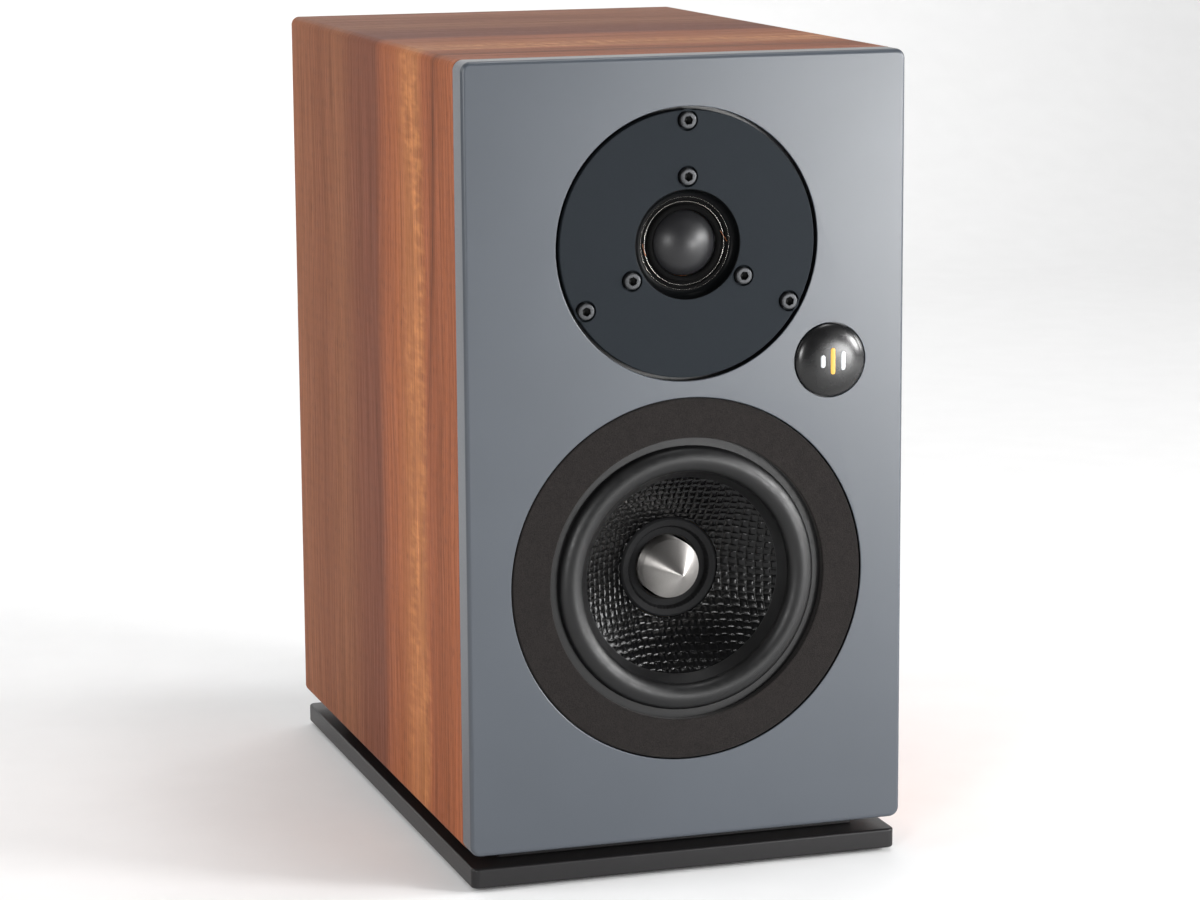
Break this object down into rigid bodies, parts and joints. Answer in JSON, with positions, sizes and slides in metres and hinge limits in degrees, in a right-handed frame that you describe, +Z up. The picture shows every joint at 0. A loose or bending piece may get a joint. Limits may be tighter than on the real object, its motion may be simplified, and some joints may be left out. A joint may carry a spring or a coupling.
{
  "type": "bookshelf speaker",
  "caption": "Two-way ported bookshelf loudspeaker: veneered cabinet with lacquered baffle, dome tweeter, woven-cone woofer with phase plug, spaced plinth and rear binding posts.",
  "frame": {"origin": "on the floor, at the middle of the whole object's width and length", "axes": "+Z up, -Y is the front with the drivers, +X to the right as seen from the front"},
  "size_m": [0.18, 0.3044, 0.326],
  "materials": {
    "walnut_veneer": "satin oiled walnut veneer on board",
    "grey_lacquer": "satin blue-grey lacquer on board",
    "mdf_board": "raw fibreboard",
    "black_lacquer": "satin black lacquer on board",
    "black_plastic": "moulded black plastic",
    "charcoal_plate": "satin charcoal powder coat",
    "badge_gloss": "polished black",
    "silk_dome": "coated black silk",
    "rubber_black": "satin butyl rubber",
    "felt_ring": "fine dark brown-grey foam felt",
    "cone_weave": "coarse woven carbon and glass fibre",
    "polished_aluminium": "brushed and polished",
    "cast_alloy": "cast, grey paint",
    "zinc_steel": "zinc plated",
    "ferrite_magnet": "sintered ferrite",
    "screw_steel": "grey phosphated",
    "copper_wire": "enamelled copper",
    "spider_cloth": "resin dipped cloth",
    "acoustic_foam": "open cell foam",
    "circuit_board": "solder mask",
    "capacitor_film": "wrapped film",
    "cement_resistor": "ceramic cement",
    "gold_plate": "gold plated brass",
    "red_plastic": "moulded red",
    "black_grip": "moulded black",
    "wire_sheath": "flexible sheath"
  },
  "bodies": {
    "cabinet": {"front_baffle": "grey_lacquer", "sub_baffle": "mdf_board", "left_side_panel": "walnut_veneer", "right_side_panel": "walnut_veneer", "top_panel": "walnut_veneer", "bottom_panel": "walnut_veneer", "rear_panel": "black_lacquer", "window_brace": "mdf_board", "plinth": "black_lacquer", "plinth_spacer": "black_lacquer", "badge_disc": "badge_gloss", "damping_pad_left": "acoustic_foam", "damping_pad_right": "acoustic_foam", "tweeter_faceplate": "charcoal_plate", "tweeter_carrier_ring": "black_plastic", "tweeter_surround": "silk_dome", "tweeter_top_plate": "zinc_steel", "tweeter_magnet": "ferrite_magnet", "tweeter_yoke": "zinc_steel", "woofer_basket": "cast_alloy", "woofer_trim_ring": "felt_ring", "woofer_surround": "rubber_black", "woofer_spider": "spider_cloth", "woofer_top_plate": "zinc_steel", "woofer_magnet": "ferrite_magnet", "woofer_yoke": "zinc_steel", "woofer_phase_plug": "polished_aluminium", "port_tube": "black_plastic", "terminal_plate": "black_plastic", "binding_post_red": "gold_plate", "binding_post_black": "gold_plate", "crossover_board": "circuit_board", "woofer_inductor": "copper_wire", "tweeter_inductor": "copper_wire", "woofer_capacitor": "capacitor_film", "tweeter_capacitor": "capacitor_film", "tweeter_resistor": "cement_resistor", "woofer_lead": "wire_sheath", "tweeter_lead": "wire_sheath", "input_lead": "wire_sheath", "foot_pad_front_left": "rubber_black", "foot_pad_front_right": "rubber_black", "foot_pad_rear_left": "rubber_black", "foot_pad_rear_right": "rubber_black", "tweeter_mount_screw_1": "screw_steel", "tweeter_motor_screw_1": "screw_steel", "tweeter_mount_screw_2": "screw_steel", "tweeter_motor_screw_2": "screw_steel", "tweeter_mount_screw_3": "screw_steel", "tweeter_motor_screw_3": "screw_steel"},
    "woofer_moving": {"woofer_cone": "cone_weave", "woofer_neck_ring": "rubber_black", "woofer_voice_coil": "copper_wire"},
    "tweeter_moving": {"tweeter_dome": "silk_dome", "tweeter_voice_coil": "copper_wire"},
    "washer_red": {"post_washer_red": "gold_plate"},
    "washer_black": {"post_washer_black": "gold_plate"},
    "knob_red": {"post_knob_red": "red_plastic"},
    "knob_black": {"post_knob_black": "black_grip"}
  },
  "joints": [
    {"name": "woofer_excursion", "type": "slide", "parent": "cabinet", "child": "woofer_moving", "axis": [0, -1, 0], "range_m": [-0.005, 0.005], "stiffness_N_per_m": 1000, "deforming": ["woofer_surround", "woofer_spider"]},
    {"name": "tweeter_excursion", "type": "slide", "parent": "cabinet", "child": "tweeter_moving", "axis": [0, -1, 0], "range_m": [-0.0004, 0.0004], "stiffness_N_per_m": 2000, "deforming": ["tweeter_surround"]},
    {"name": "washer_red_travel", "type": "slide", "parent": "cabinet", "child": "washer_red", "axis": [0, 1, 0], "range_m": [0, 0.006]},
    {"name": "knob_red_turn", "type": "hinge", "parent": "washer_red", "child": "knob_red", "pos_m": [-0.015, 0.1433, 0.092], "axis": [0, 1, 0], "range_deg": [0, 2160]},
    {"name": "washer_black_travel", "type": "slide", "parent": "cabinet", "child": "washer_black", "axis": [0, 1, 0], "range_m": [0, 0.006]},
    {"name": "knob_black_turn", "type": "hinge", "parent": "washer_black", "child": "knob_black", "pos_m": [0.015, 0.1433, 0.092], "axis": [0, 1, 0], "range_deg": [0, 2160]}
  ],
  "couplings": [
    {"joint": "knob_red_turn", "follows": "washer_red_travel", "rad_per_m": 6283.2},
    {"joint": "knob_black_turn", "follows": "washer_black_travel", "rad_per_m": 6283.2}
  ]
}
